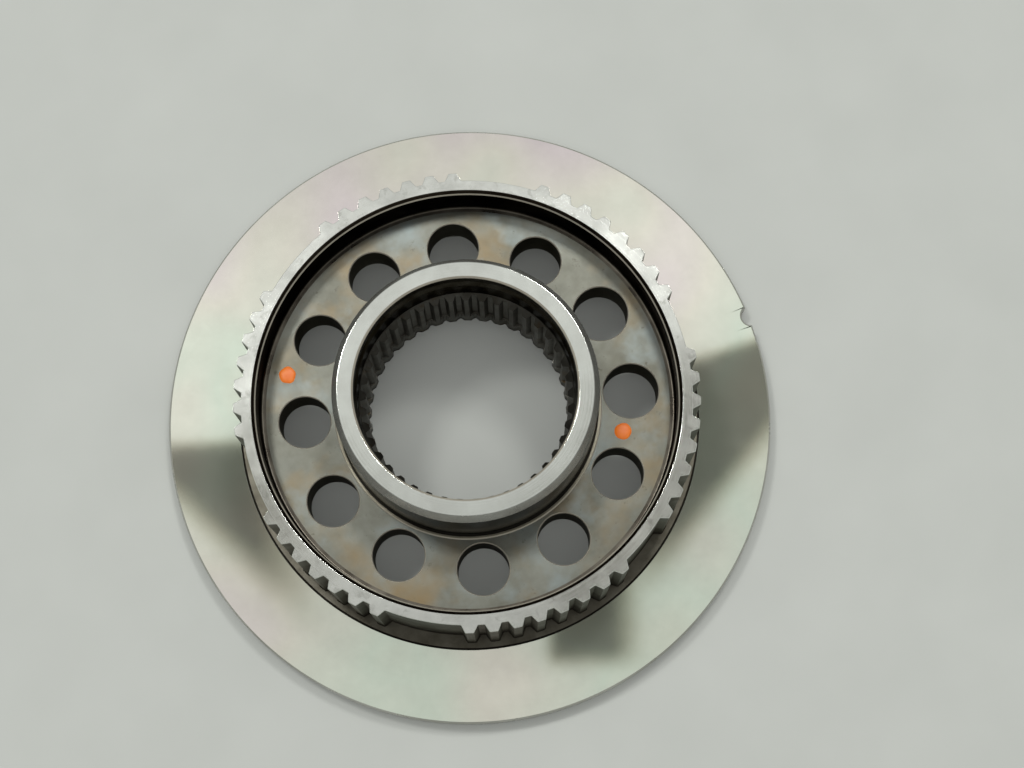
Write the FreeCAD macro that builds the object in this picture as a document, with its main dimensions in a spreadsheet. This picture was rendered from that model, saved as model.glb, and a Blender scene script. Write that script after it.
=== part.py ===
import FreeCAD, Part
import math
import os
import re

import Sketcher
from FreeCAD import Placement, Rotation, Vector

# Clutch hub
# One piece of steel, in millimetres. The axis is Z, the flange's lower face lies on Z = 0, and the
# notch in the flange's rim lies on +X.

SIZES = {
    # Pressure flange
    "flange_diameter": 169.0,
    "flange_thickness": 7.0,
    "flange_edge_chamfer": 0.5,
    "relief_groove_gap": 1.9,
    "relief_groove_width": 0.5,
    "relief_groove_depth": 0.6,
    "rim_notch_radius": 2.75,
    "rim_notch_outset": 0.7,
    # Toothed ring
    "ring_height": 32.0,
    "ring_wall": 3.8,
    "ring_mouth_chamfer": 1.1,
    "skirt_step": 1.4,
    # Outer spline
    "spline_module": 2.0,
    "spline_teeth": 61,
    "spline_addendum": 1.3,
    "spline_dedendum": 0.8,
    "spline_tooth_share": 0.573,
    "spline_flank_angle": 30.0,
    "spline_clocking": 330.0,
    "oil_gap_count": 6,
    "oil_gap_half_angle": 7.9,
    # Web and its holes, whose places and diameters are shares of the web's width
    "web_drop": 12.2,
    "web_thickness": 12.4,
    "web_corner_width": 1.2,
    "hole_count": 12,
    "hole_circle_share": 0.405,
    "hole_share": 0.7,
    "wide_hole_share": 0.75,
    "hole_edge_chamfer": 0.35,
    # Centre collar
    "collar_rise": 15.0,
    "collar_wall": 5.8,
    "collar_lead_width": 1.5,
    "collar_lead_length": 3.0,
    "collar_mouth_chamfer": 0.5,
    "shoulder_width": 1.4,
    "shoulder_height": 0.4,
    "undercut_depth": 0.4,
    "undercut_length": 0.9,
    "tail_wall": 5.0,
    "tail_length": 2.4,
    # Bore and its spline
    "bore_teeth": 41,
    "bore_tip_diameter": 54.2,
    "bore_space_depth": 1.4,
    "bore_space_share": 0.505,
    "bore_stop_depth": 0.9,
    "bore_stop_length": 6.0,
    "bore_stop_mouth": 2.4,
    "bore_stop_flank_angle": 46.0,
    "bore_relief_clearance": 0.2,
    "bore_relief_length": 10.4,
    "counterbore_step": 0.7,
    "counterbore_depth": 4.0,
    "counterbore_lead_length": 2.6,
    # How far a cutter starts outside the metal that it cuts
    "cutter_clearance": 1.0,
}

# Levels above the flange's lower face
FLANGE_TOP = "flange_thickness"
RING_TOP = "(flange_thickness + ring_height)"
WEB_TOP = f"({RING_TOP} - web_drop)"
WEB_UNDERSIDE = f"({WEB_TOP} - web_thickness)"
COLLAR_TOP = f"({RING_TOP} + collar_rise)"
TAIL_END = f"({WEB_UNDERSIDE} - tail_length)"
SHOULDER_TOP = f"({WEB_TOP} + shoulder_height)"
COUNTERBORE_FLOOR = f"({COLLAR_TOP} - counterbore_depth)"
BORE_RELIEF_FLOOR = f"({COUNTERBORE_FLOOR} - bore_relief_length)"
BORE_STOP_TOP = f"({TAIL_END} + bore_stop_length)"

# Radii outwards from the bore. The relief above its teeth and its lower edge clear the spline's roots
BORE_TIP = "(bore_tip_diameter / 2)"
BORE_PITCH = f"({BORE_TIP} + bore_space_depth / 2)"
BORE_STOP = f"({BORE_TIP} + bore_stop_depth)"
BORE_ROOT = f"({BORE_TIP} + bore_space_depth)"
BORE_RELIEF = f"({BORE_ROOT} + bore_relief_clearance)"
COUNTERBORE = f"({BORE_ROOT} + counterbore_step)"
COLLAR = f"({COUNTERBORE} + collar_wall)"
SHOULDER = f"({COLLAR} + shoulder_width)"
TAIL = f"({BORE_ROOT} + tail_wall)"

# Radii inwards from the outer spline, and outwards to the flange's rim
SPLINE_PITCH = "(spline_module * spline_teeth / 2)"
SPLINE_ROOT = f"({SPLINE_PITCH} - spline_dedendum)"
SPLINE_TIP = f"({SPLINE_PITCH} + spline_addendum)"
RING_BORE = f"({SPLINE_ROOT} - ring_wall)"
SKIRT_BORE = f"({RING_BORE} - skirt_step)"
GROOVE_INNER = f"({SPLINE_TIP} + relief_groove_gap - relief_groove_width / 2)"
GROOVE_OUTER = f"({SPLINE_TIP} + relief_groove_gap + relief_groove_width / 2)"
RIM = "(flange_diameter / 2)"

# The holes lie in the web between the shoulder and the ring
WEB_WIDTH = f"({RING_BORE} - {SHOULDER})"
HOLE_CIRCLE = f"({SHOULDER} + hole_circle_share * {WEB_WIDTH})"
HOLE_RADIUS = f"(hole_share * {WEB_WIDTH} / 2)"
WIDE_HOLE_RADIUS = f"(wide_hole_share * {WEB_WIDTH} / 2)"

# A cut of less volume than this, in cubic millimetres, is no cut
LEAST_CUT = 1e-3

# The turned section, as (radius, level) corners, anticlockwise from the skirt's lower edge
TURNED_SECTION = [
    (SKIRT_BORE, "flange_edge_chamfer"),
    (f"{SKIRT_BORE} + flange_edge_chamfer", "0"),
    (f"{RIM} - flange_edge_chamfer", "0"),
    (RIM, "flange_edge_chamfer"),
    (RIM, f"{FLANGE_TOP} - flange_edge_chamfer"),
    (f"{RIM} - flange_edge_chamfer", FLANGE_TOP),
    (GROOVE_OUTER, FLANGE_TOP),
    (GROOVE_OUTER, f"{FLANGE_TOP} - relief_groove_depth"),
    (GROOVE_INNER, f"{FLANGE_TOP} - relief_groove_depth"),
    (GROOVE_INNER, FLANGE_TOP),
    (SPLINE_TIP, FLANGE_TOP),
    (SPLINE_TIP, RING_TOP),
    (f"{RING_BORE} + ring_mouth_chamfer", RING_TOP),
    (RING_BORE, f"{RING_TOP} - ring_mouth_chamfer"),
    (RING_BORE, f"{WEB_TOP} + web_corner_width"),
    (f"{RING_BORE} - web_corner_width", WEB_TOP),
    (SHOULDER, WEB_TOP),
    (SHOULDER, SHOULDER_TOP),
    (f"{COLLAR} - undercut_depth", SHOULDER_TOP),
    (f"{COLLAR} - undercut_depth", f"{SHOULDER_TOP} + undercut_length"),
    (COLLAR, f"{SHOULDER_TOP} + undercut_length + undercut_depth"),
    (COLLAR, f"{COLLAR_TOP} - collar_lead_length"),
    (f"{COLLAR} - collar_lead_width", COLLAR_TOP),
    (f"{COUNTERBORE} + collar_mouth_chamfer", COLLAR_TOP),
    (COUNTERBORE, f"{COLLAR_TOP} - collar_mouth_chamfer"),
    (COUNTERBORE, COUNTERBORE_FLOOR),
    (BORE_RELIEF, f"{COUNTERBORE_FLOOR} - counterbore_lead_length"),
    (BORE_RELIEF, BORE_RELIEF_FLOOR),
    (BORE_TIP, f"{BORE_RELIEF_FLOOR} - {BORE_RELIEF} + {BORE_TIP}"),
    (BORE_TIP, f"{TAIL_END} + {BORE_RELIEF} - {BORE_TIP}"),
    (BORE_RELIEF, TAIL_END),
    (TAIL, TAIL_END),
    (TAIL, WEB_UNDERSIDE),
    (SKIRT_BORE, WEB_UNDERSIDE),
]


def in_sheet(text):
    """The same expression with every named size read from the sheet."""
    return re.sub(r"[a-z_]+", lambda word: "sizes." + word[0] if word[0] in SIZES else word[0], text)


def value_of(text):
    """The number that an expression of named sizes gives."""
    result = sheet.evalExpression(text)
    return float(getattr(result, "Value", result))


def bind(thing, place, text):
    """Tie one property or constraint of an object to an expression of named sizes."""
    thing.setExpression(place, in_sheet(text))


def add_sizes():
    """The sheet of driving sizes, one alias a row."""
    table = doc.addObject("Spreadsheet::Sheet", "sizes")
    for row, (name, number) in enumerate(SIZES.items(), start=1):
        table.set(f"A{row}", name)
        table.set(f"B{row}", str(number))
        table.setAlias(f"B{row}", name)
    doc.recompute()
    return table


def add_sketch(name, plane, level="0", turn="0"):
    """A sketch on one of the body's own planes, raised to a level and turned about Z in degrees."""
    sketch = body.newObject("Sketcher::SketchObject", name)
    planes = {feature.Role: feature for feature in body.Origin.OriginFeatures}
    sketch.AttachmentSupport = (planes[plane], [""])
    sketch.MapMode = "FlatFace"
    upright = Vector(0, 0, 1) if plane == "XY_Plane" else Vector(0, 1, 0)
    lift = upright * value_of(level)
    sketch.AttachmentOffset = Placement(lift, Rotation(upright, value_of(turn)))
    bind(sketch, "AttachmentOffset.Base.z" if plane == "XY_Plane" else "AttachmentOffset.Base.y", level)
    bind(sketch, "AttachmentOffset.Rotation.Angle", turn)
    return sketch


def hold(sketch, geometry, point, across=None, up=None):
    """Place one point of a sketch by its two distances from the sketch's origin."""
    for kind, axis, text in (("DistanceX", -2, across), ("DistanceY", -1, up)):
        if text is None:
            continue
        if text == "0":
            sketch.addConstraint(Sketcher.Constraint("PointOnObject", geometry, point, axis))
            continue
        index = sketch.addConstraint(
            Sketcher.Constraint(kind, -1, 1, geometry, point, value_of(text)))
        bind(sketch, f"Constraints[{index}]", text)


def draw_outline(sketch, corners):
    """A closed outline of straight lines through corners that are each held by the sheet."""
    points = [Vector(value_of(across), value_of(up), 0) for across, up in corners]
    count = len(points)
    for index, point in enumerate(points):
        sketch.addGeometry(Part.LineSegment(point, points[(index + 1) % count]), False)
    for index, (across, up) in enumerate(corners):
        sketch.addConstraint(Sketcher.Constraint("Coincident", index, 2, (index + 1) % count, 1))
        hold(sketch, index, 1, across, up)


def draw_space(sketch, root, mouth, on_flank, flank_angle):
    """A gap between two flanks, even about the sketch's X axis, from a root arc to a straight mouth.

    on_flank is a point that the upper flank passes through, and flank_angle the direction, from X,
    in which that flank runs from the root to the mouth."""
    slope = math.tan(math.radians(value_of(flank_angle)))
    point_x, point_y = value_of(on_flank[0]), value_of(on_flank[1])
    root_radius, mouth_x = value_of(root), value_of(mouth)
    root_y = point_y + (root_radius - point_x) * slope
    root_x = math.sqrt(root_radius ** 2 - root_y ** 2)
    mouth_y = point_y + (mouth_x - point_x) * slope
    root_end = math.atan2(root_y, root_x)

    upper = sketch.addGeometry(
        Part.LineSegment(Vector(root_x, root_y, 0), Vector(mouth_x, mouth_y, 0)), False)
    lower = sketch.addGeometry(
        Part.LineSegment(Vector(root_x, -root_y, 0), Vector(mouth_x, -mouth_y, 0)), False)
    circle = Part.Circle(Vector(0, 0, 0), Vector(0, 0, 1), root_radius)
    arc = sketch.addGeometry(Part.ArcOfCircle(circle, -root_end, root_end), False)
    opening = sketch.addGeometry(
        Part.LineSegment(Vector(mouth_x, mouth_y, 0), Vector(mouth_x, -mouth_y, 0)), False)
    gauge = sketch.addGeometry(Part.Point(Vector(point_x, point_y, 0)), True)

    for first, first_end, second, second_end in (
            (arc, 3, -1, 1), (arc, 2, upper, 1), (arc, 1, lower, 1),
            (upper, 2, opening, 1), (lower, 2, opening, 2)):
        sketch.addConstraint(
            Sketcher.Constraint("Coincident", first, first_end, second, second_end))
    sketch.addConstraint(Sketcher.Constraint("Symmetric", upper, 2, lower, 2, -1))
    sketch.addConstraint(Sketcher.Constraint("Vertical", upper, 1, lower, 1))
    radius = sketch.addConstraint(Sketcher.Constraint("Radius", arc, root_radius))
    bind(sketch, f"Constraints[{radius}]", root)
    angle = sketch.addConstraint(
        Sketcher.Constraint("Angle", upper, math.radians(value_of(flank_angle))))
    bind(sketch, f"Constraints[{angle}]", flank_angle)
    hold(sketch, upper, 2, across=mouth)
    hold(sketch, gauge, 1, *on_flank)
    sketch.addConstraint(Sketcher.Constraint("PointOnObject", gauge, 1, upper))


def cut_up(sketch, name):
    """A pocket from a sketch up through everything above it."""
    pocket = body.newObject("PartDesign::Pocket", name)
    pocket.Profile = sketch
    pocket.Type = "ThroughAll"
    pocket.Reversed = True
    settle(pocket)
    return pocket


def repeat_round(feature, name, count):
    """The same cut repeated evenly about Z."""
    pattern = body.newObject("PartDesign::PolarPattern", name)
    pattern.Originals = [feature]
    planes = {item.Role: item for item in body.Origin.OriginFeatures}
    pattern.Axis = (planes["Z_Axis"], [""])
    pattern.Angle = 360
    bind(pattern, "Occurrences", count)
    settle(pattern)
    return pattern


def settle(feature):
    """Make a feature the body's tip, and stop if a cut took nothing away."""
    before = body.Shape.Volume if body.Tip else None
    body.Tip = feature
    doc.recompute()
    if before and body.Shape.Volume > before - LEAST_CUT:
        raise RuntimeError(f"{feature.Name} cut nothing")


def turn_blank():
    """The turned blank, whole round, with its outer surface at the spline's tips."""
    sketch = add_sketch("turned_section", "XZ_Plane")
    draw_outline(sketch, TURNED_SECTION)
    blank = body.newObject("PartDesign::Revolution", "turned_blank")
    blank.Profile = sketch
    blank.ReferenceAxis = (sketch, ["V_Axis"])
    blank.Angle = 360
    body.Tip = blank
    doc.recompute()


def cut_outer_spline():
    """The outer spline: straight-flanked spaces all round, then the six oil gaps."""
    space_width = "(pi * spline_module * (1 - spline_tooth_share))"
    space_half_angle = f"({space_width} / {SPLINE_PITCH} * 90 / pi)"
    mouth = f"{SPLINE_TIP} + cutter_clearance"
    sketch = add_sketch("outer_space", "XY_Plane", FLANGE_TOP, "spline_clocking")
    draw_space(sketch, SPLINE_ROOT, mouth,
               (SPLINE_PITCH, f"{space_width} / 2"), f"spline_flank_angle + {space_half_angle}")
    space = cut_up(sketch, "outer_space_cut")
    repeat_round(space, "outer_spline", "spline_teeth")

    for number, (first, missing) in enumerate(teeth_left_out(), start=1):
        middle = f"mod(spline_clocking + ({first} + {missing} / 2) * 360 / spline_teeth; 360)"
        half_angle = f"({missing} * 180 / spline_teeth)"
        on_edge = (f"{SPLINE_ROOT} * cos({half_angle} * 1 deg)",
                   f"{SPLINE_ROOT} * sin({half_angle} * 1 deg)")
        sketch = add_sketch(f"oil_gap_{number}_outline", "XY_Plane", FLANGE_TOP, middle)
        draw_space(sketch, SPLINE_ROOT, mouth, on_edge, half_angle)
        cut_up(sketch, f"oil_gap_{number}")


def teeth_left_out():
    """Runs of teeth that stand in an oil gap, as (first tooth, number of teeth).

    Tooth n lies between spaces n and n + 1. The gaps are evenly spaced, the first on the notch's
    line, and each takes the teeth whose middles lie within its half angle."""
    teeth = round(value_of("spline_teeth"))
    spacing = 360 / value_of("oil_gap_count")
    half_angle = value_of("oil_gap_half_angle")
    clocking = value_of("spline_clocking")
    in_gap = []
    for tooth in range(teeth):
        angle = clocking + (tooth + 0.5) * 360 / teeth
        from_gap = (angle + spacing / 2) % spacing - spacing / 2
        in_gap.append(abs(from_gap) < half_angle)
    starts = [tooth for tooth in range(teeth) if in_gap[tooth] and not in_gap[tooth - 1]]
    runs = []
    for first in starts:
        missing = 1
        while in_gap[(first + missing) % teeth]:
            missing += 1
        runs.append((first, missing))
    return runs


def cut_bore_spline():
    """The bore's spline, with shallow V-shaped spaces along its lower end as a stop."""
    space_width = f"(bore_space_share * 2 * pi * {BORE_PITCH} / bore_teeth)"
    half_angle = f"({space_width} / {BORE_PITCH} * 90 / pi)"
    first_space = "180 / bore_teeth"
    for name, level, root, on_flank, flank_angle in (
            ("bore_stop", TAIL_END, BORE_STOP,
             (BORE_TIP, "bore_stop_mouth / 2"), "180 - bore_stop_flank_angle"),
            ("bore_spline", BORE_STOP_TOP, BORE_ROOT,
             (BORE_PITCH, f"{space_width} / 2"), f"180 + {half_angle} - spline_flank_angle")):
        sketch = add_sketch(f"{name}_space", "XY_Plane", level, first_space)
        draw_space(sketch, root, f"{BORE_TIP} - cutter_clearance", on_flank, flank_angle)
        space = cut_up(sketch, f"{name}_space_cut")
        repeat_round(space, name, "bore_teeth")


def drill_hole(name, radius, turn):
    """One hole through the web with its upper edge broken."""
    wall = f"{HOLE_CIRCLE} + {radius}"
    flared = f"{wall} + 2 * hole_edge_chamfer"
    sketch = add_sketch(f"{name}_section", "XZ_Plane", "0", turn)
    draw_outline(sketch, [
        (HOLE_CIRCLE, f"{WEB_UNDERSIDE} - cutter_clearance"),
        (wall, f"{WEB_UNDERSIDE} - cutter_clearance"),
        (wall, f"{WEB_TOP} - hole_edge_chamfer"),
        (flared, f"{WEB_TOP} + hole_edge_chamfer"),
        (HOLE_CIRCLE, f"{WEB_TOP} + hole_edge_chamfer"),
    ])
    hole = body.newObject("PartDesign::Groove", name)
    hole.Profile = sketch
    hole.ReferenceAxis = (sketch, ["Edge5"])
    hole.Angle = 360
    settle(hole)
    return hole


def drill_web():
    """The ring of holes in the web, and the two beside the notch's line opened out."""
    half_step = "180 / hole_count"
    hole = drill_hole("web_hole", HOLE_RADIUS, half_step)
    repeat_round(hole, "web_holes", "hole_count")
    drill_hole("wide_hole_left", WIDE_HOLE_RADIUS, half_step)
    drill_hole("wide_hole_right", WIDE_HOLE_RADIUS, f"360 - {half_step}")


def cut_notch():
    """The round notch in the flange's rim."""
    sketch = add_sketch("rim_notch_outline", "XY_Plane")
    centre = f"{RIM} + rim_notch_outset"
    radius = value_of("rim_notch_radius")
    circle = sketch.addGeometry(
        Part.Circle(Vector(value_of(centre), 0, 0), Vector(0, 0, 1), radius), False)
    index = sketch.addConstraint(Sketcher.Constraint("Radius", circle, radius))
    bind(sketch, f"Constraints[{index}]", "rim_notch_radius")
    hold(sketch, circle, 3, centre, "0")
    cut_up(sketch, "rim_notch")


def check_document():
    """Stop before anything is written if an object failed or the hub isn't one sound solid."""
    for item in doc.Objects:
        if "Invalid" in item.State or "Error" in item.State:
            raise RuntimeError(f"{item.Name} failed: {item.State}")
        if item.isDerivedFrom("Sketcher::SketchObject") and item.solve() != 0:
            raise RuntimeError(f"{item.Name} can't be solved")
    shape = body.Shape
    if shape.isNull() or not shape.isValid() or len(shape.Solids) != 1:
        raise RuntimeError("the hub isn't one valid solid")


doc = FreeCAD.newDocument("clutch_hub")
sheet = add_sizes()
body = doc.addObject("PartDesign::Body", "hub_body")
body.Label = "clutch_hub"
turn_blank()
drill_web()
cut_notch()
cut_outer_spline()
cut_bore_spline()
doc.recompute()
check_document()

os.makedirs("parts", exist_ok=True)
body.Shape.exportStep(os.path.join("parts", f"{body.Label}.step"))
box = body.Shape.BoundBox
print(f"{body.Label}: {box.XLength:.2f} x {box.YLength:.2f} x {box.ZLength:.2f} mm,"
      f" {body.Shape.Volume / 1000:.1f} cm3, {len(body.Shape.Faces)} faces")
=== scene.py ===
import math
import random

import bmesh
import bpy
from mathutils import Matrix, Vector


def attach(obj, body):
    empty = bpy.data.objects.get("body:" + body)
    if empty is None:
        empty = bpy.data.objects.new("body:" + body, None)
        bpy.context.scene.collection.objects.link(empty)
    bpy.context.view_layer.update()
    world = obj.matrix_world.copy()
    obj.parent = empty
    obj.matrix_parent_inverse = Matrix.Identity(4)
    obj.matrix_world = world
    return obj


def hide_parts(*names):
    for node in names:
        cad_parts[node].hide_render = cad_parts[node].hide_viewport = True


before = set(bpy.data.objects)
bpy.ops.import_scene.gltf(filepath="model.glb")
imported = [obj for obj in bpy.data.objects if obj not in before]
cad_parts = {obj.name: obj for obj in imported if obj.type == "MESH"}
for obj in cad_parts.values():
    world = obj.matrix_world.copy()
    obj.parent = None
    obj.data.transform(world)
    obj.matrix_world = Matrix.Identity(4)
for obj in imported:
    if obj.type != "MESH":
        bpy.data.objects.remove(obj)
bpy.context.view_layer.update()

# The hub's sizes in millimetres, as in the CAD model's sheet
MM = 0.001
FLANGE_RADIUS = 84.5
FLANGE_TOP = 7.0
FLANGE_CHAMFER = 0.5
GROOVE_OUTER = 64.45
GROOVE_INNER = 63.95
GROOVE_FLOOR = 6.4
NOTCH_RADIUS = 2.75
NOTCH_CENTRE = 85.2
RING_TOP = 39.0
RING_BORE = 56.4
RING_CHAMFER = 1.1
SKIRT_BORE = 55.0
TEETH = 61
TIP = 62.3
ROOT = 60.2
PITCH = 61.0
SPACE_WIDTH = 2 * math.pi - 3.6
FLANK = 30.0
CLOCKING = 330.0
GAPS = 6
GAP_HALF_ANGLE = 7.9
WEB_TOP = 26.8
WEB_UNDERSIDE = 14.4
WEB_CORNER = 1.4
HOLES = 12
HOLE_CIRCLE = 44.5
HOLE_RADIUS = 7.0
WIDE_HOLE_RADIUS = 7.5
HOLE_CHAMFER = 0.3
SHOULDER = 36.4
SHOULDER_TOP = 27.2
COLLAR = 35.0
COLLAR_TOP = 54.0
LEAD_WIDTH = 1.5
LEAD_LENGTH = 3.0
COUNTERBORE = 29.2
COUNTERBORE_FLOOR = 50.0
TAIL = 33.5
TAIL_END = 12.0
BORE_TEETH = 41
BORE_TIP = 27.1
BORE_ROOT = 28.5
BORE_STOP = 28.0
BORE_STOP_TOP = 18.0
BORE_STOP_MOUTH = 2.4
BORE_STOP_FLANK = 46.0
BORE_PITCH = 27.8
BORE_SPACE = 2.15
BORE_RELIEF = 28.7
BORE_RELIEF_TOP = 47.4
BORE_RELIEF_FLOOR = 39.6

# Sizes that only the dressed mesh has
TOOTH_ROOT_ROUNDING = 0.3
TOOTH_TIP_ROUNDING = 0.22
BORE_TIP_ROUNDING = 0.15
RIM_EDGE_LENGTH = 0.62      # the rim's broken edge, from the flat face down its wall
RIM_EDGE_MIDDLE = (0.1, 0.4)
COLLAR_UNDERCUT = 0.4       # the small undercut at the collar's foot, coloured near-black as painted shade
NICKS = {-2.6: 0.16, -3.3: 0.22, -3.8: 0.1, -4.6: 0.13, -5.1: 0.2}  # depths, by angle to the notch
NICK_HALF_ANGLE = 0.45

# Circles where plain rings meet the rim's and the teeth's outlines
RIM_JOIN = 80.0
TOOTH_FOOT_JOIN = 63.4
RING_TOP_JOIN = 58.4

# Points round a full circle, one a degree, and steps between the web's two edges
ROUND = 360
WEB_STEPS = 12

# The hub's finishes, in the order of its material slots, with their settings for steel_finish.
# The lapped flange has a function of its own.
FINISHES = {
    "lapped_flange": None,
    "turned_rim": dict(
        light=(0.50, 0.50, 0.46), dark=(0.38, 0.38, 0.34), rough=(0.24, 0.36),
        edge=0.8, metallic=0.7),
    "ground_ring": dict(
        light=(0.70, 0.705, 0.68), dark=(0.58, 0.583, 0.56), rough=(0.09, 0.14),
        marks=0.1, lines=2500, patch=140, accents=[(260, (0.40, 0.40, 0.375), 0.56, 0.80)]),
    "tooth_flank": dict(
        light=(0.18, 0.172, 0.15), dark=(0.095, 0.087, 0.07), rough=(0.34, 0.48),
        marks=0.1, lines=1500, patch=150, edge=0.5),
    # Painted reflection: the ring's inner chamfer is coloured dark brown to stand in for the dark
    # that it reflects.
    "painted_reflection_chamfer": dict(
        light=(0.13, 0.10, 0.075), dark=(0.07, 0.053, 0.04), rough=(0.24, 0.36),
        marks=0.1, edge=0.4),
    "browned_web": dict(
        light=(0.165, 0.168, 0.15), dark=(0.098, 0.096, 0.08), rough=(0.34, 0.46),
        marks=0.12, lines=2600, patch=52,
        accents=[(38, (0.165, 0.12, 0.065), 0.50, 0.78), (62, (0.165, 0.188, 0.19), 0.50, 0.76),
                 (420, (0.05, 0.042, 0.03), 0.64, 0.80)]),
    "drilled_wall": dict(
        light=(0.12, 0.115, 0.098), dark=(0.06, 0.056, 0.046), rough=(0.4, 0.55), edge=0.3),
    "polished_collar": dict(
        light=(0.19, 0.185, 0.165), dark=(0.09, 0.086, 0.072), rough=(0.12, 0.2),
        marks=0.1, edge=0.4),
    "ground_collar": dict(
        light=(0.64, 0.655, 0.63), dark=(0.57, 0.58, 0.555), rough=(0.09, 0.13),
        marks=0.1, lines=2600, patch=120),
    "broached_bore": dict(
        light=(0.20, 0.195, 0.175), dark=(0.11, 0.103, 0.088), rough=(0.3, 0.45),
        marks=0.1, lines=1800, patch=140, accents=[(200, (0.14, 0.10, 0.055), 0.58, 0.75)],
        edge=0.5),
    # The floor round the teeth's foot, a darker brown than the flange.
    "dark_brown_tooth_floor": dict(
        light=(0.15, 0.14, 0.115), dark=(0.088, 0.08, 0.063), rough=(0.34, 0.5),
        marks=0.1, lines=2500, patch=160, edge=0.5),
    "ring_wall": dict(
        light=(0.10, 0.09, 0.075), dark=(0.05, 0.043, 0.035), rough=(0.24, 0.36),
        marks=0.1, lines=2200, patch=110, edge=0.2),
    # Painted shade: a near-black colour for the narrow recesses' walls and floors, standing in for
    # the shadow in them.
    "painted_shade_groove": dict(
        light=(0.03, 0.027, 0.022), dark=(0.018, 0.016, 0.013), rough=(0.5, 0.6), edge=0.1),
    # Painted highlight: a light beige, mostly diffuse finish on small edges, so they show as thin
    # bright lines from any side, standing in for the glint on their rounded edges.
    "painted_highlight_edge": dict(
        light=(0.44, 0.41, 0.34), dark=(0.32, 0.295, 0.245), rough=(0.25, 0.4),
        marks=0.05, metallic=0.3),
    "shoulder_land": dict(
        light=(0.25, 0.23, 0.185), dark=(0.16, 0.146, 0.113), rough=(0.3, 0.42),
        marks=0.1, lines=2600, patch=120, edge=0.5),
    "ground_lead": dict(
        light=(0.46, 0.465, 0.44), dark=(0.34, 0.34, 0.315), rough=(0.2, 0.3),
        marks=0.1, lines=2600, patch=120, edge=0.8, metallic=0.8),
    "counterbore": dict(
        light=(0.15, 0.13, 0.105), dark=(0.085, 0.07, 0.055), rough=(0.3, 0.42),
        marks=0.1, lines=1800, patch=140, edge=0.5),
    "bore_relief": dict(
        light=(0.10, 0.094, 0.082), dark=(0.05, 0.046, 0.039), rough=(0.2, 0.32),
        marks=0.1, lines=1800, patch=140, edge=0.3),
}
SLOT_OF = {name: index for index, name in enumerate(FINISHES)}

hub = bmesh.new()


def at(radius, degrees, height):
    """A new vertex at a radius, an angle and a level."""
    angle = math.radians(degrees)
    return hub.verts.new(
        (radius * math.cos(angle) * MM, radius * math.sin(angle) * MM, height * MM))


def circle(radius, height):
    """A full ring of vertices, one a degree."""
    return [at(radius, degrees * 360 / ROUND, height) for degrees in range(ROUND)]


def face(vertices, finish):
    made = hub.faces.new(vertices)
    made.material_index = SLOT_OF[finish]
    made.smooth = True


def skin(ring, following, finish):
    """Quads between two rings whose vertices match one to one. Returns the second."""
    for k in range(len(ring)):
        face((ring[k - 1], ring[k], following[k], following[k - 1]), finish)
    return following


def turn_of(vertex):
    return math.degrees(math.atan2(vertex.co.y, vertex.co.x)) % 360


def by_turn(ring):
    """A ring's vertices with their angles, from the smallest angle once round to it again."""
    start = min(range(len(ring)), key=lambda k: turn_of(ring[k]))
    ring = ring[start:] + ring[:start]
    return [(turn_of(vertex), vertex) for vertex in ring] + [(turn_of(ring[0]) + 360, ring[0])]


def zip_rings(ring, following, finish):
    """Triangles between two rings with different angles. Returns the second ring."""
    first, second = by_turn(ring), by_turn(following)
    i = j = 0
    while i < len(first) - 1 or j < len(second) - 1:
        ahead_first = first[i + 1][0] if i < len(first) - 1 else math.inf
        ahead_second = second[j + 1][0] if j < len(second) - 1 else math.inf
        if ahead_first <= ahead_second:
            face((first[i][1], first[i + 1][1], second[j][1]), finish)
            i += 1
        else:
            face((first[i][1], second[j + 1][1], second[j][1]), finish)
            j += 1
    return following


# The largest share of a straight run that the rounding at one end may take
ROUNDING_SHARE = 0.48


def rounded(corners, closed, steps=4):
    """A polyline through (x, y, rounding) corners, with an arc of that radius at each one."""
    path = []
    count = len(corners)
    for k, (x, y, rounding) in enumerate(corners):
        here = Vector((x, y))
        if rounding == 0 or (not closed and k in (0, count - 1)):
            path.append(here)
            continue
        before = Vector(corners[k - 1][:2]) - here
        after = Vector(corners[(k + 1) % count][:2]) - here
        half = before.angle(after) / 2
        reach = min(rounding / math.tan(half),
                    before.length * ROUNDING_SHARE, after.length * ROUNDING_SHARE)
        radius = reach * math.tan(half)
        inward = (before.normalized() + after.normalized()).normalized()
        middle = here + inward * radius / math.sin(half)
        start = here + before.normalized() * reach - middle
        end = here + after.normalized() * reach - middle
        sweep = start.angle_signed(end)
        for step in range(steps + 1):
            path.append(middle + Matrix.Rotation(-sweep * step / steps, 2) @ start)
    return path


def lathe(ring, corners, finishes):
    """Rings along a turned profile that goes on from a ring. Returns the last ring.

    corners are (radius, level, rounding). finishes names the finish of each straight run, and
    an arc takes that of the run before it."""
    path = rounded([(corners[0][0], corners[0][1], 0)] + corners[1:], closed=False)
    runs = [Vector(end[:2]) - Vector(start[:2]) for start, end in zip(corners, corners[1:])]
    run = 0
    for before, here in zip(path, path[1:]):
        step = here - before
        while run < len(runs) - 1 and step.angle(runs[run + 1]) < step.angle(runs[run]) - 1e-4:
            run += 1
        ring = skin(ring, circle(here.x, here.y), finishes[run])
    return ring


# The least cosine by which a mitred corner of a pushed outline is divided
MITRE_LIMIT = 0.5


def outline_ring(points, push, level_of):
    """A ring on a plane outline that is pushed outwards by a distance."""
    ring = []
    count = len(points)
    for k, point in enumerate(points):
        before = (point - points[k - 1]).normalized()
        after = (points[(k + 1) % count] - point).normalized()
        along = (before + after).normalized()
        reach = push / max(along.dot(after), MITRE_LIMIT)
        moved = point + Vector((along.y, -along.x)) * reach
        ring.append(hub.verts.new((moved.x * MM, moved.y * MM, level_of(moved.length) * MM)))
    return ring


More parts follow.
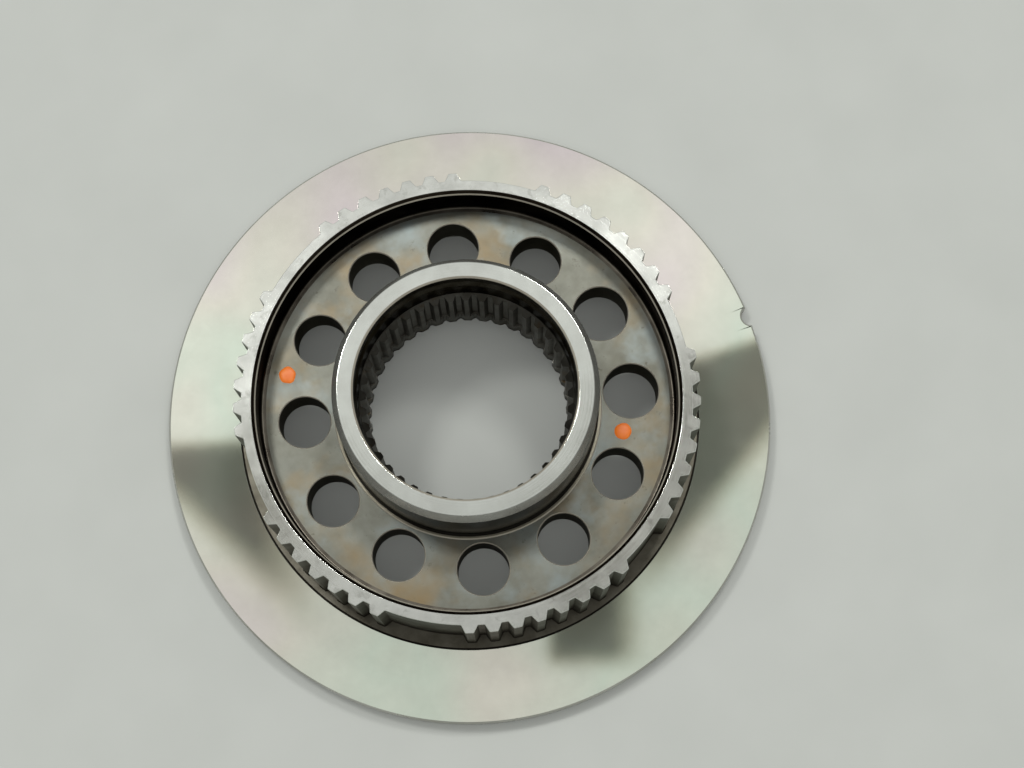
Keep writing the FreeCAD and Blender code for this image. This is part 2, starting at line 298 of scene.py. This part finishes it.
def climb(ring, points, steps):
    """Rings on one plane outline, from (push, level, finish) steps. Returns the last ring.

    A level is a height or a function of the radius."""
    for push, height, finish in steps:
        level_of = height if callable(height) else level(height)
        ring = skin(ring, outline_ring(points, push, level_of), finish)
    return ring


def level(height):
    return lambda radius: height


def polar(radius, degrees):
    angle = math.radians(degrees)
    return Vector((radius * math.cos(angle), radius * math.sin(angle)))


def half_space(radius, pitch, width, slope):
    """Half of the angle that a space takes up at a radius, between two straight flanks."""
    across = width / 2
    for _ in range(4):
        across = width / 2 + (math.sqrt(radius ** 2 - across ** 2) - pitch) * slope
    return math.degrees(math.asin(across / radius))


def missing(tooth):
    """True for a tooth that stands in one of the six gaps."""
    spacing = 360 / GAPS
    angle = CLOCKING + (tooth + 0.5) * 360 / TEETH
    return abs((angle + spacing / 2) % spacing - spacing / 2) < GAP_HALF_ANGLE


def outer_outline():
    """The toothed ring's plane outline."""
    slope = math.tan(math.radians(FLANK + math.degrees(SPACE_WIDTH / PITCH / 2)))
    at_root = half_space(ROOT, PITCH, SPACE_WIDTH, slope)
    at_tip = half_space(TIP, PITCH, SPACE_WIDTH, slope)
    corners = []
    for space in range(TEETH):
        middle = CLOCKING + space * 360 / TEETH
        following = middle + 360 / TEETH
        open_before = missing((space - 1) % TEETH)
        open_after = missing(space)
        if not open_before:
            corners.append((*polar(ROOT, middle - at_root), TOOTH_ROOT_ROUNDING))
        corners.append((*polar(ROOT, middle), 0))
        if open_after:
            for part in (0.25, 0.5, 0.75):
                corners.append((*polar(ROOT, middle + part * 360 / TEETH), 0))
        else:
            corners.append((*polar(ROOT, middle + at_root), TOOTH_ROOT_ROUNDING))
            corners.append((*polar(TIP, middle + at_tip), TOOTH_TIP_ROUNDING))
            corners.append((*polar(TIP, (middle + following) / 2), 0))
            corners.append((*polar(TIP, following - at_tip), TOOTH_TIP_ROUNDING))
    return rounded(corners, closed=True, steps=3)


def bore_outline(root, pitch, width, flank, rounding):
    """The splined bore's plane outline, with spaces of a width at a pitch radius and a root
    radius."""
    slope = -math.tan(math.radians(flank))
    at_root = half_space(root, pitch, width, slope)
    at_tip = half_space(BORE_TIP, pitch, width, slope)
    corners = []
    for space in range(BORE_TEETH):
        middle = (space + 0.5) * 360 / BORE_TEETH
        corners.append((*polar(BORE_TIP, middle - at_tip), BORE_TIP_ROUNDING))
        corners.append((*polar(root, middle - at_root), rounding))
        corners.append((*polar(root, middle), 0))
        corners.append((*polar(root, middle + at_root), rounding))
        corners.append((*polar(BORE_TIP, middle + at_tip), BORE_TIP_ROUNDING))
        corners.append((*polar(BORE_TIP, middle + 180 / BORE_TEETH), 0))
    return rounded(corners, closed=True, steps=3)


def rim_outline():
    """The flange's plane outline, with the notch on +X and the small nicks beside it."""
    squares = FLANGE_RADIUS ** 2 + NOTCH_CENTRE ** 2 - NOTCH_RADIUS ** 2
    half = math.degrees(math.acos(squares / (2 * FLANGE_RADIUS * NOTCH_CENTRE)))
    edge = polar(FLANGE_RADIUS, half)
    spread = math.atan2(edge.y, NOTCH_CENTRE - edge.x)
    corners = []
    for step in range(-10, 11):
        turn = spread * step / 10
        x = NOTCH_CENTRE - NOTCH_RADIUS * math.cos(turn)
        corners.append((x, NOTCH_RADIUS * math.sin(turn), 0.15 if abs(step) == 10 else 0))
    first = math.ceil(half) + 0.5
    steps = round((360 - 2 * first) / 0.5)
    for step in range(steps + 1):
        degrees = first + step * 0.5
        depth = sum(deep * max(0, 1 - abs(degrees - 360 - place) / NICK_HALF_ANGLE)
                    for place, deep in NICKS.items())
        corners.append((*polar(FLANGE_RADIUS - depth, degrees), 0))
    return rounded(corners, closed=True, steps=3)


def round_hole(centre, radius, boundary):
    """The rings of one hole through the web, top edge to lower edge, with one vertex for each of
    the boundary's."""
    profile = [(radius + HOLE_CHAMFER, WEB_TOP), (radius + 0.12, WEB_TOP - 0.2),
               (radius, WEB_TOP - HOLE_CHAMFER - 0.15), (radius, WEB_UNDERSIDE + 0.15),
               (radius + 0.03, WEB_UNDERSIDE + 0.06), (radius + 0.1, WEB_UNDERSIDE)]
    rings = []
    for wide, high in profile:
        ring = []
        for vertex in boundary:
            away = (Vector(vertex.co.xy) / MM - centre).normalized()
            place = centre + away * wide
            ring.append(hub.verts.new((place.x * MM, place.y * MM, high * MM)))
        rings.append(ring)
    # The holes' rims take the painted highlight.
    finishes = ["painted_highlight_edge", "painted_highlight_edge", "drilled_wall", "drilled_wall", "painted_highlight_edge"]
    for k, finish in enumerate(finishes):
        skin(rings[k], rings[k + 1], finish)
    return rings[0], rings[-1]


def spokes(inner, outer, sector):
    """The vertices between two rings along each line that parts two holes."""
    lines = []
    for hole in range(HOLES):
        start, end = inner[hole * sector].co, outer[hole * sector].co
        lines.append([hub.verts.new(start.lerp(end, k / WEB_STEPS)) for k in range(1, WEB_STEPS)])
    return lines


def around(inner, outer, lines, hole, sector):
    """The vertices round one hole's share of the web, anticlockwise from above."""
    first = hole * sector
    span = range(first, first + sector + 1)
    outward = [outer[k % ROUND] for k in span]
    inward = [inner[k % ROUND] for k in reversed(span)]
    return outward + lines[(hole + 1) % HOLES][::-1] + inward + lines[hole]


def drill_web(top_inner, top_outer, low_inner, low_outer):
    """The web's two faces and the twelve holes between them."""
    sector = ROUND // HOLES
    top_lines = spokes(top_inner, top_outer, sector)
    low_lines = spokes(low_inner, low_outer, sector)
    for hole in range(HOLES):
        degrees = (hole + 0.5) * 360 / HOLES
        wide = hole in (0, HOLES - 1)
        centre = polar(HOLE_CIRCLE, degrees)
        top = around(top_inner, top_outer, top_lines, hole, sector)
        low = around(low_inner, low_outer, low_lines, hole, sector)
        upper, lower = round_hole(centre, WIDE_HOLE_RADIUS if wide else HOLE_RADIUS, top)
        skin(top, upper, "browned_web")
        skin(lower, low, "browned_web")


# The underside, the rim and the flange's face
skirt_start = circle(SKIRT_BORE - 0.8, WEB_UNDERSIDE)
ring = lathe(
    skirt_start,
    [(SKIRT_BORE - 0.8, WEB_UNDERSIDE), (SKIRT_BORE, WEB_UNDERSIDE, 0.5),
     (SKIRT_BORE, FLANGE_CHAMFER, 0.12), (SKIRT_BORE + FLANGE_CHAMFER, 0, 0.12),
     (RIM_JOIN, 0, 0)],
    ["browned_web", "ring_wall", "turned_rim", "lapped_flange"])
rim = rim_outline()
ring = zip_rings(ring, outline_ring(rim, -FLANGE_CHAMFER, level(0)), "lapped_flange")
edge_in, edge_down = RIM_EDGE_MIDDLE
ring = climb(ring, rim, [
    (-edge_in, edge_down, "turned_rim"), (0, RIM_EDGE_LENGTH, "turned_rim"),
    (0, FLANGE_TOP - RIM_EDGE_LENGTH, "turned_rim"),
    (-edge_in, FLANGE_TOP - edge_down, "turned_rim"), (-FLANGE_CHAMFER, FLANGE_TOP, "turned_rim")])
ring = zip_rings(ring, circle(RIM_JOIN, FLANGE_TOP), "lapped_flange")
# The flange's narrow recess by the teeth is coloured near-black as painted shade.
ring = lathe(
    ring,
    [(RIM_JOIN, FLANGE_TOP), (GROOVE_OUTER, FLANGE_TOP, 0.08), (GROOVE_OUTER, GROOVE_FLOOR, 0.1),
     (GROOVE_INNER, GROOVE_FLOOR, 0.1), (GROOVE_INNER, FLANGE_TOP, 0.08),
     (TOOTH_FOOT_JOIN, FLANGE_TOP, 0)],
    ["lapped_flange", "painted_shade_groove", "painted_shade_groove", "painted_shade_groove", "dark_brown_tooth_floor"])

# The toothed ring
teeth = outer_outline()
ring = zip_rings(ring, outline_ring(teeth, 0.25, level(FLANGE_TOP)), "dark_brown_tooth_floor")
ring = climb(ring, teeth, [
    (0.06, FLANGE_TOP + 0.24, "dark_brown_tooth_floor"), (0, FLANGE_TOP + 0.5, "tooth_flank"),
    (0, RING_TOP - 0.3, "tooth_flank"), (-0.04, RING_TOP - 0.16, "ground_ring"),
    (-0.17, RING_TOP, "ground_ring")])
ring = zip_rings(ring, circle(RING_TOP_JOIN, RING_TOP), "ground_ring")
# The ring's inner chamfer is coloured dark as a painted reflection, and the edge below it takes a
# painted highlight.
web_rim = lathe(
    ring,
    [(RING_TOP_JOIN, RING_TOP), (RING_BORE + RING_CHAMFER, RING_TOP, 0.12),
     (RING_BORE + 0.32, RING_TOP - RING_CHAMFER + 0.32, 0),
     (RING_BORE, RING_TOP - RING_CHAMFER - 0.1, 0.15), (RING_BORE, WEB_TOP, WEB_CORNER),
     (RING_BORE - WEB_CORNER - 0.1, WEB_TOP, 0)],
    ["ground_ring", "painted_reflection_chamfer", "painted_highlight_edge", "ring_wall", "ring_wall"])

# The collar and the upper part of its bore
web_hub = circle(SHOULDER + 0.15, WEB_TOP)
# The collar's undercut is coloured near-black as painted shade; the shoulder's outer edge and the
# counterbore's mouth take a painted highlight.
ring = lathe(
    web_hub,
    [(SHOULDER + 0.15, WEB_TOP), (SHOULDER, WEB_TOP, 0.05), (SHOULDER, SHOULDER_TOP - 0.2, 0.05),
     (SHOULDER - 0.3, SHOULDER_TOP, 0.05), (COLLAR + 0.5, SHOULDER_TOP, 0.05),
     (COLLAR + 0.45, SHOULDER_TOP - 0.3, 0.05),
     (COLLAR - COLLAR_UNDERCUT, SHOULDER_TOP - 0.3, 0.1),
     (COLLAR - COLLAR_UNDERCUT, SHOULDER_TOP + 0.9, 0.1),
     (COLLAR, SHOULDER_TOP + 1.3, 0.1), (COLLAR, COLLAR_TOP - LEAD_LENGTH, 0.6),
     (COLLAR - LEAD_WIDTH, COLLAR_TOP, 0.3), (COUNTERBORE + 0.5, COLLAR_TOP, 0.15),
     (COUNTERBORE, COLLAR_TOP - 0.5, 0.15), (COUNTERBORE, COUNTERBORE_FLOOR, 0.1),
     (BORE_RELIEF, BORE_RELIEF_TOP, 0.1), (BORE_RELIEF, BORE_RELIEF_FLOOR, 0)],
    ["browned_web", "shoulder_land", "painted_highlight_edge", "shoulder_land", "painted_shade_groove", "painted_shade_groove",
     "painted_shade_groove", "painted_shade_groove", "polished_collar", "ground_lead", "ground_collar", "painted_highlight_edge",
     "counterbore", "tooth_flank", "bore_relief"])


def lead_cone(radius):
    """The level of the cone that leads into the bore's teeth."""
    return BORE_RELIEF_FLOOR - (BORE_RELIEF - radius)


def exit_cone(radius):
    """The level of the cone that breaks the bore's lower edge."""
    return TAIL_END + (BORE_RELIEF - radius)


# The splined bore, its shallow stop and the tail
bore = bore_outline(BORE_ROOT, BORE_PITCH, BORE_SPACE,
                    FLANK - math.degrees(BORE_SPACE / BORE_PITCH / 2), 0.2)
stop = bore_outline(BORE_STOP, BORE_TIP, BORE_STOP_MOUTH, BORE_STOP_FLANK, 0.05)
ring = zip_rings(ring, outline_ring(bore, -0.16, lead_cone), "broached_bore")
ring = climb(ring, bore, [
    (0, lambda radius: lead_cone(radius) - 0.14, "broached_bore"),
    (0, BORE_STOP_TOP, "broached_bore")])
ring = climb(ring, stop, [
    (0, BORE_STOP_TOP - 0.02, "broached_bore"),
    (0, lambda radius: exit_cone(radius) + 0.1, "broached_bore"),
    (-0.12, exit_cone, "broached_bore")])
ring = zip_rings(ring, circle(BORE_RELIEF, TAIL_END), "broached_bore")
tail_end = lathe(
    ring,
    [(BORE_RELIEF, TAIL_END), (TAIL, TAIL_END, 0.3), (TAIL, WEB_UNDERSIDE, 0.5),
     (TAIL + 0.8, WEB_UNDERSIDE, 0)],
    ["browned_web", "browned_web", "browned_web"])
drill_web(web_hub, web_rim, tail_end, skirt_start)

# An edge between two faces stays sharp above this angle, in degrees
SHARP_STEEL = 34
SHARP_PAINT = 60

hub.normal_update()
mesh = bpy.data.meshes.new("clutch_hub_steel")
hub.to_mesh(mesh)
hub.free()
mesh.set_sharp_from_angle(angle=math.radians(SHARP_STEEL))
steel = bpy.data.objects.new("clutch_hub_steel", mesh)
bpy.context.scene.collection.objects.link(steel)
weighted = steel.modifiers.new("weighted", "WEIGHTED_NORMAL")
weighted.keep_sharp = True
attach(steel, "root")
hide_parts("clutch_hub")


class Nodes:
    """The nodes of a material or of the world, made by short calls."""

    def __init__(self, owner, coordinates="Object"):
        owner.use_nodes = True
        self.owner = owner
        self.tree = owner.node_tree
        self.place = self.add("ShaderNodeTexCoord").outputs[coordinates]

    @property
    def shader(self):
        return self.tree.nodes["Principled BSDF"]

    def add(self, kind, inputs=(), **settings):
        """A new node, with its inputs by name or number and its other settings by name."""
        node = self.tree.nodes.new(kind)
        for key, value in settings.items():
            setattr(node, key, value)
        for key, value in dict(inputs).items():
            self.put(value, node.inputs[key])
        return node

    def put(self, value, socket):
        """Link a socket to an input, or set the input to a plain value."""
        if isinstance(value, bpy.types.NodeSocket):
            self.tree.links.new(value, socket)
        else:
            socket.default_value = value

    def math(self, operation, *values):
        return self.add("ShaderNodeMath", enumerate(values), operation=operation).outputs[0]

    def product(self, first, *others):
        for value in others:
            first = self.math("MULTIPLY", first, value)
        return first

    def scaled(self, x, y, z):
        mapping = self.add("ShaderNodeMapping", {"Vector": self.place, "Scale": (x, y, z)})
        return mapping.outputs[0]

    def radius(self):
        parts = self.add("ShaderNodeSeparateXYZ", {0: self.place}).outputs
        across = self.math("MULTIPLY", parts[0], parts[0])
        along = self.math("MULTIPLY", parts[1], parts[1])
        return self.math("SQRT", self.math("ADD", across, along))

    def noise(self, scale, detail=3.0, rough=0.5, place=None):
        return self.add("ShaderNodeTexNoise", {
            "Vector": place or self.place, "Scale": scale, "Detail": detail, "Roughness": rough,
        }).outputs["Fac"]

    def ramp(self, value, stops):
        """A colour ramp, from (place, grey or colour) stops."""
        node = self.add("ShaderNodeValToRGB", {"Fac": value})
        elements = node.color_ramp.elements
        while len(elements) < len(stops):
            elements.new(0.5)
        for element, (place, colour) in zip(elements, stops):
            element.position = place
            if not isinstance(colour, tuple):
                colour = (colour, colour, colour)
            element.color = (*colour, 1)
        return node.outputs["Color"]

    def mix(self, share, first, second, blend="MIX"):
        """Two colours mixed by a share."""
        node = self.add("ShaderNodeMix", data_type="RGBA", blend_type=blend)
        self.put(share, node.inputs["Factor"])
        for name, value in (("A", first), ("B", second)):
            if isinstance(value, tuple):
                value = (*value, 1)
            socket = [s for s in node.inputs if s.name == name and s.type == "RGBA"][0]
            self.put(value, socket)
        return [s for s in node.outputs if s.type == "RGBA"][0]

    def bump(self, height, strength):
        return self.add("ShaderNodeBump", {
            "Height": height, "Strength": strength, "Distance": 0.0001,
        }).outputs["Normal"]

    def turning(self, lines, strength):
        """Fine concentric turning marks: a bump from a noise along the radius."""
        across = self.add("ShaderNodeCombineXYZ", {0: self.radius()}).outputs[0]
        return self.bump(self.noise(lines, 2.0, 0.7, across), strength)

    def finish(self, colour, roughness, normal=None, metallic=1.0):
        """Feed the shader, and return the material."""
        self.put(colour, self.shader.inputs["Base Color"])
        self.put(roughness, self.shader.inputs["Roughness"])
        self.shader.inputs["Metallic"].default_value = metallic
        if normal is not None:
            self.put(normal, self.shader.inputs["Normal"])
        return self.owner


# How the flange's film drifts from pink to green across the hub, per metre along each axis
FILM_DRIFT = (-0.375, -1.0, 0.0)


def lapped_flange():
    """Semi-mirror face, champagne to grey, with faint pink, green and blue films."""
    n = Nodes(bpy.data.materials.new("lapped_flange"))
    drift = n.add("ShaderNodeVectorMath", {0: n.place, 1: FILM_DRIFT},
                  operation="DOT_PRODUCT").outputs["Value"]
    thickness = n.math("ADD", n.math("MULTIPLY_ADD", n.noise(17, 2.0, 0.45), 0.6, 0.2), drift)
    film = n.ramp(thickness, [
        (0.30, (0.74, 0.755, 0.775)), (0.40, (0.82, 0.735, 0.755)), (0.48, (0.83, 0.80, 0.72)),
        (0.57, (0.735, 0.81, 0.71)), (0.70, (0.83, 0.79, 0.68))])
    stain = n.ramp(n.noise(95, 5.0, 0.6), [(0.3, 0.9), (0.7, 1.0)])
    colour = n.mix(1.0, film, stain, "MULTIPLY")
    scratches = n.noise(1500, 3.0, 0.7, n.scaled(1, 0.3, 1))
    roughness = n.ramp(n.noise(60, 4.0, 0.6), [(0.3, 0.026), (0.7, 0.045)])
    return n.finish(colour, roughness, n.bump(scratches, 0.0015), metallic=0.86)


def steel_finish(name, light, dark, rough, marks=0.15, lines=3000, patch=45, accents=(),
                 edge=1.0, metallic=1.0):
    """A machined steel finish: two tones in soft patches, fine turning marks, uneven gloss.

    rough is the lowest and highest roughness. marks and lines are the turning marks' depth and
    fineness. Each accent is a noise scale, a colour, and the noise where it starts and is full.
    edge is how bright the steel stays when seen at a grazing angle."""
    n = Nodes(bpy.data.materials.new(name))
    n.shader.inputs["Specular Tint"].default_value = (edge, edge, edge, 1)
    colour = n.mix(n.ramp(n.noise(patch, 5.0, 0.6), [(0.36, 0.0), (0.66, 1.0)]), dark, light)
    for scale, tint, low, high in accents:
        share = n.ramp(n.noise(scale, 4.0, 0.62), [(low, 0.0), (high, 1.0)])
        colour = n.mix(share, colour, tint)
    roughness = n.ramp(n.noise(110, 4.0, 0.6), [(0.3, rough[0]), (0.7, rough[1])])
    return n.finish(colour, roughness, n.turning(lines, marks), metallic)


for name, settings in FINISHES.items():
    mesh.materials.append(steel_finish(name, **settings) if settings else lapped_flange())

# The dabs of marking paint, in millimetres and in points round and across each
DAB_RADIUS = 2.3
DAB_HEIGHT = 0.42
DAB_BASE = WEB_TOP - 0.01
DAB_ROUND = 64
DAB_RINGS = 10


def paint_dab(name, degrees, radius, seed):
    """A small domed dab of marking paint on the web, with an uneven outline."""
    draw = random.Random(seed)
    centre = polar(radius, degrees)
    waves = [(k, draw.uniform(0.01, 0.045), draw.uniform(0, 2 * math.pi)) for k in (2, 3, 5)]
    dab = bmesh.new()
    rings = []
    for step in range(1, DAB_RINGS + 1):
        share = step / DAB_RINGS
        height = DAB_BASE + DAB_HEIGHT * (1 - share ** 2.6) ** 0.7
        ring = []
        for k in range(DAB_ROUND):
            angle = 2 * math.pi * k / DAB_ROUND
            swell = 1 + sum(size * math.cos(count * angle + phase) for count, size, phase in waves)
            wide = DAB_RADIUS * share * swell
            ring.append(dab.verts.new(((centre.x + wide * math.cos(angle)) * MM,
                                       (centre.y + wide * math.sin(angle)) * MM, height * MM)))
        rings.append(ring)
    top = dab.verts.new((centre.x * MM, centre.y * MM, (DAB_BASE + DAB_HEIGHT) * MM))
    low = dab.verts.new((centre.x * MM, centre.y * MM, DAB_BASE * MM))
    for k in range(DAB_ROUND):
        dab.faces.new((top, rings[0][k - 1], rings[0][k]))
        dab.faces.new((low, rings[-1][k], rings[-1][k - 1]))
        for inner, outer in zip(rings, rings[1:]):
            dab.faces.new((inner[k - 1], outer[k - 1], outer[k], inner[k]))
    for made in dab.faces:
        made.smooth = True
    shape = bpy.data.meshes.new(name)
    dab.to_mesh(shape)
    dab.free()
    shape.set_sharp_from_angle(angle=math.radians(SHARP_PAINT))
    piece = bpy.data.objects.new(name, shape)
    bpy.context.scene.collection.objects.link(piece)
    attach(piece, "root")
    return piece


def marking_paint():
    """Bright orange paint in two close shades, with a faint glow of its own for its brightness."""
    n = Nodes(bpy.data.materials.new("marking_paint"))
    colour = n.mix(n.ramp(n.noise(700, 3.0, 0.5), [(0.35, 0.0), (0.7, 1.0)]),
                   (0.64, 0.13, 0.010), (0.68, 0.165, 0.014))
    n.shader.inputs["Emission Color"].default_value = (1.0, 0.20, 0.015, 1)
    n.shader.inputs["Emission Strength"].default_value = 0.03
    roughness = n.ramp(n.noise(900, 2.0), [(0.3, 0.38), (0.7, 0.48)])
    return n.finish(colour, roughness, n.bump(n.noise(1500, 2.0), 0.2), metallic=0.0)


paint = marking_paint()
for name, degrees, radius, seed in (
        ("paint_dab_left", 149.4, 50.0, 3), ("paint_dab_right", 330.2, 42.6, 8)):
    paint_dab(name, degrees, radius, seed).data.materials.append(paint)

# The photograph is turned by this angle against the hub's own axes
VIEW_TURN = -20.6
turn = Matrix.Rotation(math.radians(VIEW_TURN), 4, "Z")

# The floor, in metres
FLOOR_REACH = 3
floor_corners = [(x * FLOOR_REACH, y * FLOOR_REACH, 0)
                 for x, y in ((-1, -1), (1, -1), (1, 1), (-1, 1))]
floor_mesh = bpy.data.meshes.new("floor")
floor_mesh.from_pydata(floor_corners, [], [(0, 1, 2, 3)])
floor = bpy.data.objects.new("floor", floor_mesh)
bpy.context.scene.collection.objects.link(floor)
sheet = Nodes(bpy.data.materials.new("pale_floor"))
pale = sheet.mix(sheet.noise(30, 3.0), (0.34, 0.35, 0.335), (0.39, 0.40, 0.385))
sheet.put(pale, sheet.shader.inputs["Emission Color"])
sheet.shader.inputs["Emission Strength"].default_value = 0.12
floor_mesh.materials.append(sheet.finish(pale, 0.7, metallic=0.0))

# The lamps: place in metres in the photograph's axes, width, power in watts, colour
CAMERA_PLACE = (0.0141, -0.1039, 0.5847)
LAMPS = {
    "lamp_right": ((0.388, 0.834, 2.0), 0.35, 12, (0.99, 1.0, 0.96)),
    "lamp_left": ((-0.666, 0.56, 2.0), 0.30, 12, (0.99, 1.0, 0.96)),
    "lamp_overhead": ((CAMERA_PLACE[0], CAMERA_PLACE[1], 1.5), 1.2, 9, (0.99, 1.0, 0.98)),
}
for name, (place, width, power, colour) in LAMPS.items():
    data = bpy.data.lights.new(name, "AREA")
    data.shape = "RECTANGLE"
    data.size = data.size_y = width
    data.energy = power
    data.color = colour
    lamp = bpy.data.objects.new(name, data)
    lamp.location = turn @ Vector(place)
    lamp.rotation_mode = "QUATERNION"
    lamp.rotation_quaternion = lamp.location.to_track_quat("Z", "Y")
    bpy.context.scene.collection.objects.link(lamp)
    lamp.visible_glossy = name != "lamp_overhead"

# The studio dome. A direction is given by its slopes (across, away) from straight up, in the
# photograph's axes. A band is where it starts, that edge's softness, where it ends, and that
# edge's softness. The dark gap is what the flange reflects at its left and right.
DOME_STRENGTH = 0.88
DOME_COLOUR = (0.985, 1.0, 0.955)
GAP_COLOUR = (1.0, 0.93, 0.66)
GAP_DARKNESS = 0.93
GAP_SLANT = 0.21            # the far edge's slope across the view, and how it bends
GAP_BEND = 0.5
GAP_AWAY = (-0.5, 0.1, 0.1885, 0.004)
GAP_ACROSS = (-0.6, 0.2, 0.6, 0.2)
GAP_NEAR_RIGHT = (1.2, 0.028)   # the near edge's two lines: slope across the view, and start
GAP_NEAR_LEFT = (-0.9, -0.008)
GAP_PAST_NEAR = (0.0, 0.012, 2.0, 0.1)
GAP_MIDDLE = (-0.11, 0.02, 0.062, 0.015)    # the bright stretch that the collar reflects
SLOT_ACROSS = (0.014, 0.004, 0.052, 0.01)
SLOT_AWAY = (0.063, 0.006, 0.12, 0.02)
CROWN_AWAY = (0.15, 0.05, 0.29, 0.05)
CROWN_SHARE = 0.28
HORIZON = {1: 0.05, 2: 0.93, 3: 0.2, 4: 1.0}    # height from and to, brightness from and to


def studio_dome():
    """A pale dome, darker towards the horizon, with a dark gap that the flange reflects."""
    world = bpy.data.worlds.new("studio")
    n = Nodes(world, "Generated")
    turned = n.add("ShaderNodeVectorRotate", {"Vector": n.place, "Angle": -math.radians(VIEW_TURN)},
                   rotation_type="Z_AXIS").outputs[0]
    parts = n.add("ShaderNodeSeparateXYZ", {0: turned}).outputs
    high = n.math("MAXIMUM", parts[2], 0.05)
    across = n.math("DIVIDE", parts[0], high)
    ahead = n.math("DIVIDE", parts[1], high)
    bend = n.product(across, n.math("MULTIPLY_ADD", across, GAP_BEND, GAP_SLANT))
    away = n.math("SUBTRACT", ahead, bend)

    def ease(value, limits):
        return n.add("ShaderNodeMapRange", {"Value": value, **limits},
                     interpolation_type="SMOOTHSTEP").outputs[0]

    def inside(value, band):
        low, low_soft, top, top_soft = band
        rise = ease(value, {1: low - low_soft, 2: low + low_soft})
        fall = ease(value, {1: top - top_soft, 2: top + top_soft, 3: 1.0, 4: 0.0})
        return n.product(rise, fall)

    def without(share):
        return n.math("SUBTRACT", 1.0, share)

    near = n.math("MAXIMUM", n.math("MULTIPLY_ADD", across, *GAP_NEAR_RIGHT),
                  n.math("MULTIPLY_ADD", across, *GAP_NEAR_LEFT))
    past = n.math("SUBTRACT", ahead, near)
    gap = n.product(inside(away, GAP_AWAY), inside(across, GAP_ACROSS),
                    inside(past, GAP_PAST_NEAR), without(inside(across, GAP_MIDDLE)))
    slot = n.product(inside(across, SLOT_ACROSS), inside(ahead, SLOT_AWAY))
    dark = n.math("MAXIMUM", gap, slot)
    crown = n.math("MULTIPLY_ADD", inside(away, CROWN_AWAY), CROWN_SHARE, 1 - CROWN_SHARE)
    strength = n.product(ease(parts[2], HORIZON), without(n.product(dark, GAP_DARKNESS)), crown,
                         DOME_STRENGTH)
    background = n.tree.nodes["Background"]
    n.put(n.mix(dark, DOME_COLOUR, GAP_COLOUR), background.inputs["Color"])
    n.put(strength, background.inputs["Strength"])
    bpy.context.scene.world = world


studio_dome()

# The camera, from the fit to the photograph: its axes and its place in the photograph's axes
camera_data = bpy.data.cameras.new("camera")
camera_data.sensor_width = 36
camera_data.lens = 73.43
camera = bpy.data.objects.new("camera", camera_data)
right = Vector((0.999993, 0.000728, -0.003688))
up = Vector((0.0, 0.981069, 0.193667))
back = Vector((0.003759, -0.193666, 0.981062))
axes = Matrix((right, up, back)).transposed().to_4x4()
camera.matrix_world = turn @ Matrix.Translation(CAMERA_PLACE) @ axes
bpy.context.scene.collection.objects.link(camera)
bpy.context.scene.camera = camera
bpy.context.scene.view_settings.view_transform = "Standard"

bpy.context.view_layer.update()
